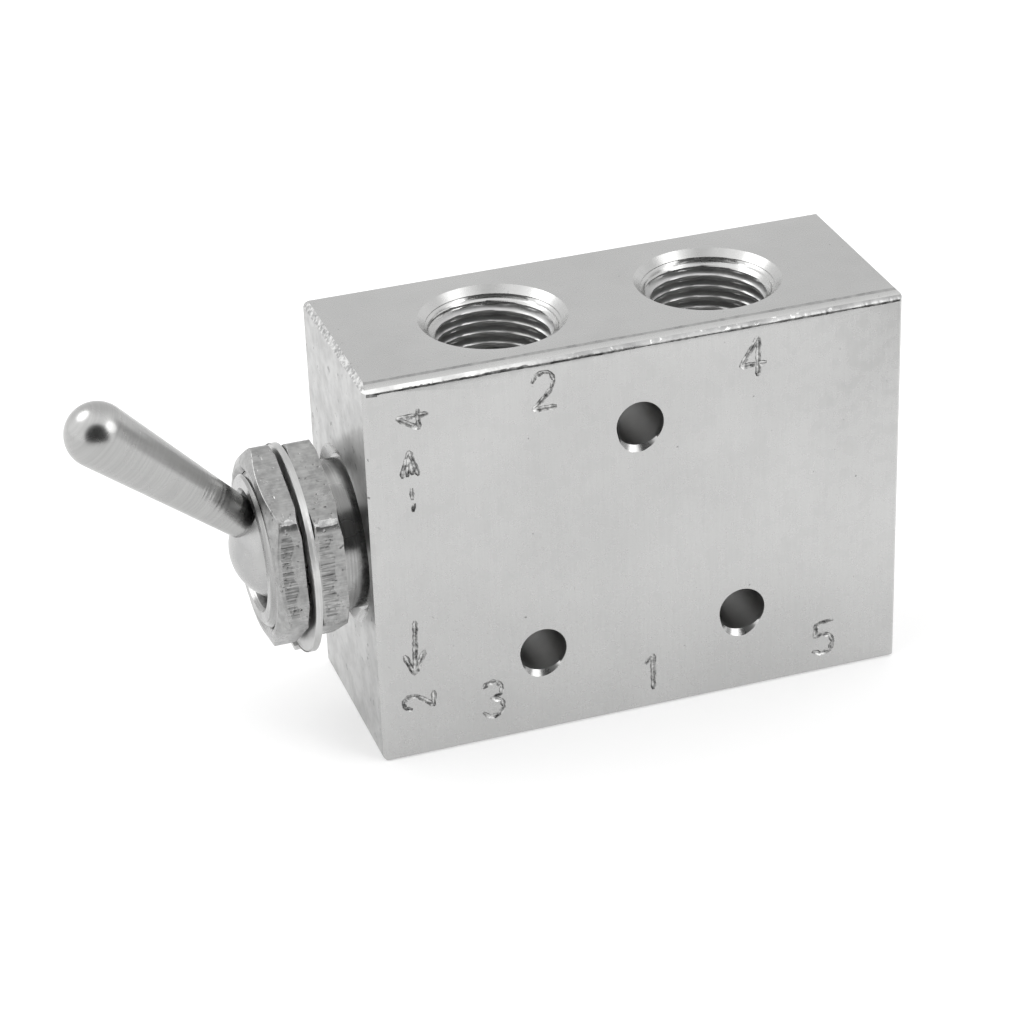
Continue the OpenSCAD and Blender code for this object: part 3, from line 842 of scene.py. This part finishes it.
def make_nut(node, name, turn, chamfer, seed, materials):
    """Hexagon nut with chamfered ends, chatter and pits on its flats, and a real thread inside.
    chamfer is the radius where the outer chamfer starts, and its slope."""
    face_r, face_slope = chamfer
    lo, hi = corners(node)
    height = hi[0] - lo[0]
    columns = 1320
    theta = np.arange(columns) / columns * TURN
    corner = math.radians(-30 - turn)
    across, flat_id = flat_place(theta, corner)
    hexagon = hexagon_radius(theta, corner)
    front_z = height - np.maximum(hexagon - face_r, 0) * face_slope
    back_z = np.maximum(hexagon - NUT_BREAK_R, 0) * NUT_BREAK_SLOPE
    outline = [(NUT_HOLE_R, height), (np.minimum(hexagon, face_r), height), (hexagon, front_z),
               (hexagon, back_z), (np.minimum(hexagon, NUT_BREAK_R), 0.0), (NUT_HOLE_R, 0.0)]
    outline = rounded(outline)
    section = outline[:9]
    low, high = outline[9], outline[8]
    rows = 40
    for i in range(1, rows):
        z = high[1] + (low[1] - high[1]) * i / rows
        share = (z - back_z) / (front_z - back_z)
        section.append((hexagon - flat_damage(across, share, flat_id, seed), z))
    section += outline[9:]
    phase_from = hi[0] - corners("bushing")[0][0]
    for z in np.linspace(0, height, 32):
        lead = np.maximum(NUT_HOLE_R - np.minimum(z, height - z), 0)
        share = thread_share(theta, z - phase_from, THREAD_PITCH)
        bore = THREAD_ROOT_R + 0.03 + (THREAD_R - THREAD_ROOT_R) * share
        section.append((np.maximum(bore, lead), z))
    obj = skin(name, turned(section, theta, outward_axis(hi[0])), loop=True)

    def on_flats(at):
        """Place of points on the flats: across, share from back to front, and the flat's number."""
        angle = np.arctan2(-at[:, 1], AXIS_Z - at[:, 2])
        side, number = flat_place(angle, corner)
        outer = np.hypot(at[:, 1], at[:, 2] - AXIS_Z) > NUT_FLATS / 2 - 0.2
        edge = hexagon_radius(angle, corner)
        front = height - np.maximum(edge - face_r, 0) * face_slope
        back = np.maximum(edge - NUT_BREAK_R, 0) * NUT_BREAK_SLOPE
        return side, (hi[0] - at[:, 0] - back) / (front - back), number, outer

    def in_chatter(at):
        """Which points lie in the torn patches."""
        side, share, number, outer = on_flats(at)
        return outer & (chatter_zone(side, share, number, seed) > 0.5)

    def in_worn_highlight(at):
        """Which points lie in the bright spot on the corner that faces the front: partly rubbed wear,
        partly a painted highlight.
        """
        side, share, number, outer = on_flats(at)
        ragged = noise_2d(share * 7, 0.5, seed + 9)
        above = (number == 3) & (side < -3.5 - 0.45 * ragged)
        below = (number == 2) & (side > 3.75 + 0.25 * ragged)
        return outer & (above | below) & (share > 0.03) & (share < 0.65 + 0.35 * ragged)

    return finish_piece(obj, "housing", materials[0], [node],
                        parts=((materials[1], in_chatter), (materials[2], in_worn_highlight)))


def flat_place(theta, corner):
    """Distance along a nut's flat from its middle, and the flat's number, for angles round the nut."""
    offset = (theta - corner) % (TURN / 6) - TURN / 12
    return NUT_FLATS / 2 * np.tan(offset), np.floor(((theta - corner) % TURN) / (TURN / 6))


def chatter_zone(across, share, flat_id, seed):
    """1 in the torn patch on the front part of every second flat, 0 outside it."""
    drift = noise_2d(across / 1.1 + 9 * flat_id, share * 1.5, seed + 1)
    teeth = noise_2d(across / 0.22 + 40 * flat_id, 0.5, seed)
    start = 0.38 + 0.3 * (drift - 0.5) + 0.08 * (teeth - 0.5)
    ends = window(across, -3.35, 3.1, 0.3)
    return window(share, start, 0.86, 0.1) * ends * (flat_id % 2 == 0)


def flat_damage(across, share, flat_id, seed):
    """Depth of the cutter's chatter, dents and worn corners on a nut's flats, in millimetres.
    across runs along a flat and share from its back edge, 0, to its front edge, 1."""
    lines = noise_2d(across / 0.15 + 40 * flat_id, share * 1.2, seed)
    dents = noise_2d(across / 0.35 + 7 * flat_id, share * 6, seed + 2)
    worn = np.clip((np.abs(across) - 3.4) / 0.6, 0, 1) * noise_2d(across / 0.6, share * 3, seed + 3)
    pits = np.clip(noise_2d(across / 0.25 + 3 * flat_id, share * 8, seed + 4) - 0.84, 0, 1)
    smooth_part = 0.008 * np.clip(dents - 0.5, 0, 1) + 0.3 * pits + 0.05 * worn
    torn = chatter_zone(across, share, flat_id, seed) * (0.006 + 0.032 * lines)
    return (torn + smooth_part) * window(share, 0.04, 0.96, 0.06)


def make_washer(material):
    """Lock washer with a rolled rim, a tongue in the key slot and a tab bent under the outer nut."""
    lo, hi = corners("lock_washer")
    outer = hi[1]
    theta = np.arange(240) / 240 * TURN
    roll = 0.22
    chamfer = 0.08
    overlap = 0.02
    section = []
    for angle in np.linspace(0, 90, 7):
        a = math.radians(angle)
        section.append((outer - roll + roll * math.sin(a), WASHER_T - roll + roll * math.cos(a)))
    for angle in np.linspace(0, 90, 7):
        a = math.radians(angle)
        section.append((outer - roll + roll * math.cos(a), roll - roll * math.sin(a)))
    section += [(WASHER_BORE_R + chamfer, 0.0), (WASHER_BORE_R, chamfer)]
    section += [(WASHER_BORE_R, WASHER_T - chamfer), (WASHER_BORE_R + chamfer, WASHER_T)]
    ring_axis = axes((hi[0], 0, AXIS_Z - WASHER_DROP), (-1, 0, 0), (0, 0, -1))
    obj = skin("washer", turned(section, theta, ring_axis), loop=True)
    rest = cad_copy("lock_washer", "washer_rest")
    ring_r = outer - overlap
    bore_r = WASHER_BORE_R + overlap
    middle = turned([(bore_r, -1), (ring_r, -1), (ring_r, 2), (bore_r, 2)], theta, ring_axis)
    boolean(rest, [skin("ring", middle, loop=True)])
    boolean(obj, [rest], "UNION")
    return finish_piece(obj, "housing", material, ["lock_washer"], sharp=40)


def lever_frame():
    """The pivot with axes square to the lever, along Y and along the lever."""
    tilt = math.radians(LEVER_UP)
    along = (-math.cos(tilt), 0, math.sin(tilt))
    return axes(PIVOT, along, (math.sin(tilt), 0, math.cos(tilt)))


def cross_bar(name, centre, radius):
    """Bar along Y that cuts a cross hole."""
    theta = np.arange(64) / 64 * TURN
    place = axes(centre, (0, 1, 0), (1, 0, 0))
    half = CROSS_HOLE_L / 2
    return skin(name, turned([(radius, -half), (radius, half)], theta, place))


def ball_slot_tool():
    """Prism of the slot in the ball, in the lever's own plane."""
    origin, up, _, along = lever_frame()
    reach = 1.6 * BALL_R
    front, back = math.radians(SLOT_FRONT_ANGLE), math.radians(SLOT_BACK_ANGLE)
    front_x = reach * math.cos(front)
    back_x = reach * math.cos(back)
    outline = [(0, 0), (front_x, reach * math.sin(front)), (front_x, reach),
               (reach, reach), (reach, -reach), (back_x, -reach)]
    rings = [[origin - along * x + up * z + np.array([0, y, 0]) for x, z in outline]
             for y in (-BALL_SLOT / 2, BALL_SLOT / 2)]
    return skin("slot", np.array(rings))


def make_lever(material, ball_material):
    """Turned lever: round tip, tapered shank with turning rings, slotted ball with two cross holes."""
    theta = np.arange(160) / 160 * TURN
    taper = math.radians(TAPER)
    end_z = TIP_REACH - TIP_R * math.sin(taper)
    end_r = TIP_R * math.cos(taper)
    section = []
    for angle in np.linspace(2, 90 + TAPER, 40):
        a = math.radians(angle)
        section.append((TIP_R * math.sin(a), TIP_REACH + TIP_R * math.cos(a)))
    root_z = root_of_shank(end_z, end_r, taper)
    for z in np.linspace(end_z, root_z, 230)[1:]:
        radius = end_r - (end_z - z) * math.tan(taper)
        near_root = window(z, 6.1, 9.0, 0.8)
        rings = noise_2d(z / 0.13, 0.5, 5) - 0.5
        section.append((radius - 0.02 * near_root * np.clip(rings, -0.2, 0.5) - 0.003 * rings, z))
    start = math.acos(root_z / BALL_R)
    for a in np.linspace(start, math.pi - 0.03, 56)[1:]:
        section.append((BALL_R * math.sin(a), BALL_R * math.cos(a)))
    obj = skin("lever", turned(section, theta, lever_frame()))
    origin, up, _, _ = lever_frame()
    boolean(obj, [ball_slot_tool(), cross_bar("pivot_hole", origin, PIVOT_HOLE_R),
                  cross_bar("drive_hole", origin + up * CRANK, DRIVE_PIN_R)])

    def on_ball(at):
        return np.linalg.norm(at - origin, axis=1) < BALL_R + 0.05

    return finish_piece(obj, "lever", material, ["toggle_lever"],
                        parts=((ball_material, on_ball),))


def root_of_shank(end_z, end_r, taper):
    """Distance from the pivot at which the tapered shank leaves the ball."""
    z = BALL_R
    for _ in range(30):
        z = math.sqrt(BALL_R ** 2 - (end_r - (end_z - z) * math.tan(taper)) ** 2)
    return z


# camera, floor and lights

def turn_rows(azimuth, elevation, roll):
    """Right, up and back of a camera at these angles."""
    a, e, r = (math.radians(x) for x in (azimuth, elevation, roll))
    back = np.array([math.sin(a) * math.cos(e), -math.cos(a) * math.cos(e), math.sin(e)])
    right = np.array([math.cos(a), math.sin(a), 0.0])
    up = np.cross(back, right)
    return (math.cos(r) * right + math.sin(r) * up, -math.sin(r) * right + math.cos(r) * up, back)


RIGHT, UP, BACK = turn_rows(CAMERA_AZIMUTH, CAMERA_ELEVATION, CAMERA_ROLL)
TOP_MIRROR = BACK * (-1, -1, 1)


def make_camera():
    data = bpy.data.cameras.new("camera")
    data.lens = CAMERA_LENS
    data.sensor_width = 36
    data.clip_start = 0.01
    data.clip_end = 10
    camera = bpy.data.objects.new("camera", data)
    bpy.context.scene.collection.objects.link(camera)
    columns = [*(Vector(v) for v in (RIGHT, UP, BACK)), Vector(CAMERA_AT)]
    camera.matrix_world = Matrix([[c[i] for c in columns] for i in range(3)] + [[0, 0, 0, 1]])
    bpy.context.scene.camera = camera


def make_floor():
    """White floor that also glows a little, like a lit table, so that shadows stay faint."""
    half = 3
    below_block = 0.00005
    outline = [(-half, -half, 0), (half, -half, 0), (half, half, 0), (-half, half, 0)]
    floor = mesh_object("floor", outline, [(0, 1, 2, 3)])
    floor.location.z = BOTTOM_Z * MM - below_block
    material = bpy.data.materials.new("floor")
    material.use_nodes = True
    shader = material.node_tree.nodes["Principled BSDF"]
    shader.inputs["Base Color"].default_value = (FLOOR_LIGHT, FLOOR_LIGHT, FLOOR_LIGHT, 1)
    shader.inputs["Roughness"].default_value = 0.9
    shader.inputs["Specular IOR Level"].default_value = 0.0
    shader.inputs["Emission Color"].default_value = (1, 1, 1, 1)
    shader.inputs["Emission Strength"].default_value = FLOOR_GLOW
    floor.data.materials.append(material)


def soft_box(name, direction, size, power):
    """Area light in a direction from the object, turned to it."""
    distance = 0.4
    middle = Vector((-0.005, 0, 0.01))
    data = bpy.data.lights.new(name, "AREA")
    data.shape = "DISK"
    data.size = size
    data.energy = power
    light = bpy.data.objects.new(name, data)
    bpy.context.scene.collection.objects.link(light)
    way = Vector(direction).normalized()
    light.location = way * distance + middle
    light.rotation_mode = "QUATERNION"
    light.rotation_quaternion = (-way).to_track_quat("-Z", "Y")


def make_world():
    """Even white surroundings, darker round the photographer's side, as in a light tent."""
    world = bpy.data.worlds.new("tent")
    bpy.context.scene.world = world
    world.use_nodes = True
    tree = world.node_tree
    tree.nodes.clear()
    place = tree.nodes.new("ShaderNodeTexCoord")

    def towards(direction, near, far, low, high):
        """Strength high outside the angle far from a direction and low inside the angle near."""
        dot = tree.nodes.new("ShaderNodeVectorMath")
        dot.operation = "DOT_PRODUCT"
        dot.inputs[1].default_value = tuple(direction)
        tree.links.new(place.outputs["Generated"], dot.inputs[0])
        made = tree.nodes.new("ShaderNodeMapRange")
        made.interpolation_type = "SMOOTHSTEP"
        made.inputs["From Min"].default_value = math.cos(math.radians(far))
        made.inputs["From Max"].default_value = math.cos(math.radians(near))
        made.inputs["To Min"].default_value = high
        made.inputs["To Max"].default_value = low
        tree.links.new(dot.outputs["Value"], made.inputs["Value"])
        return made.outputs["Result"]

    camera_side = np.array(BACK) + 0.1 * RIGHT - 0.12 * UP
    camera_side = camera_side / np.linalg.norm(camera_side)
    low_right = (0.93, -0.26, 0.26)
    strength = towards(TOP_MIRROR, near=10, far=70, low=0.95, high=1.4)
    camera_patch = towards(camera_side, near=37, far=45, low=0.03, high=1.0)
    side_patch = towards(low_right, near=8, far=34, low=0.35, high=1.0)
    for dark_patch in (camera_patch, side_patch):
        product = tree.nodes.new("ShaderNodeMath")
        product.operation = "MULTIPLY"
        tree.links.new(strength, product.inputs[0])
        tree.links.new(dark_patch, product.inputs[1])
        strength = product.outputs[0]
    sky = tree.nodes.new("ShaderNodeBackground")
    sky.inputs["Color"].default_value = (1, 1, 1, 1)
    tree.links.new(strength, sky.inputs["Strength"])
    output = tree.nodes.new("ShaderNodeOutputWorld")
    tree.links.new(sky.outputs[0], output.inputs[0])


def off_axis(degrees, right, up):
    """Direction at an angle from the camera's, towards a mix of the picture's right and up."""
    a = math.radians(degrees)
    return math.cos(a) * BACK + math.sin(a) * (right * RIGHT + up * UP)


def make_lights():
    make_world()
    soft_box("right_box", off_axis(58, 0.867, 0.498), size=0.27, power=0.34)
    soft_box("left_box", off_axis(82, -0.65, 0.76), size=0.22, power=0.3)


# the whole scene

def dress(node, material):
    """Gives a CAD node its material."""
    obj = nodes[node]
    obj.data.materials.clear()
    obj.data.materials.append(material)


bpy.context.scene.view_settings.view_transform = "Standard"
block_finish = block_nickel()
nut_finish = nut_nickel()
turned_finish = turned_nickel()
lever_finish = lever_nickel()
spring_finish = spring_steel()
pin_finish = pin_steel()
brass_finish = spool_brass()
rubber_finish = ring_rubber()

bore_finish = plain_nickel("bore_nickel", 0.46, 0.54, 0.36, 300, 0.0)
mark_finish = plain_nickel("mark_nickel", 0.13, 0.7, 0.3, 2400)
edge_finish = edge_nickel()
fleck_finish = plain_nickel("fleck_nickel", 0.28, 0.72, 0.32, 3000, 0.5)
dull_finish = plain_nickel("dull_nickel", 0.3, 0.42, 0.3)
# painted shadow line on the facet under the top front edge
edge_shadow_finish = plain_nickel("edge_shadow_nickel", 0.08, 0.3, 0.36, 1800)
chatter_finish = nut_nickel("chatter_nickel", 0.46, 0.45, 0.36)
# bright spot on the nuts' front corner: partly rubbed wear, partly a painted highlight
worn_and_highlight_finish = plain_nickel("worn_and_highlight_nickel", 0.5, 0.9, 0.6, 2200)
ball_finish = plain_nickel("ball_nickel", 0.4, 0.46, 0.26, 500, 0.0)
# painted shade for the recess inside the bushing
cavity_shade_finish = plain_nickel("cavity_shade_nickel", 0.1, 0.2, 0.45)
make_block(block_finish, ((bore_finish, in_a_hole), (mark_finish, in_a_mark),
                          (edge_finish, on_top_front_edge), (edge_shadow_finish, under_top_front_edge),
                          (fleck_finish, on_flecked_edge), (dull_finish, on_dull_edge)))
make_bushing(turned_finish, cavity_shade_finish)
nut_finishes = (nut_finish, chatter_finish, worn_and_highlight_finish)
make_nut("outer_nut", "nut_outer", OUTER_NUT_TURN, OUTER_NUT_CHAMFER, 11, nut_finishes)
make_nut("inner_nut", "nut_inner", INNER_NUT_TURN, INNER_NUT_CHAMFER, 23, nut_finishes)
make_washer(spring_finish)
make_lever(lever_finish, ball_finish)
dress("retaining_ring", spring_finish)
for pin in ("pivot_pin", "drive_pin", "spool_fork"):
    dress(pin, pin_finish)
for brass in ("spool", "gland_washer_left", "gland_washer_right", "end_plug"):
    dress(brass, brass_finish)
for ring in ("land_ring_left", "land_ring_right", "rod_seal_left", "rod_seal_right", "bushing_seal",
             "end_plug_seal"):
    dress(ring, rubber_finish)

make_camera()
make_floor()
make_lights()
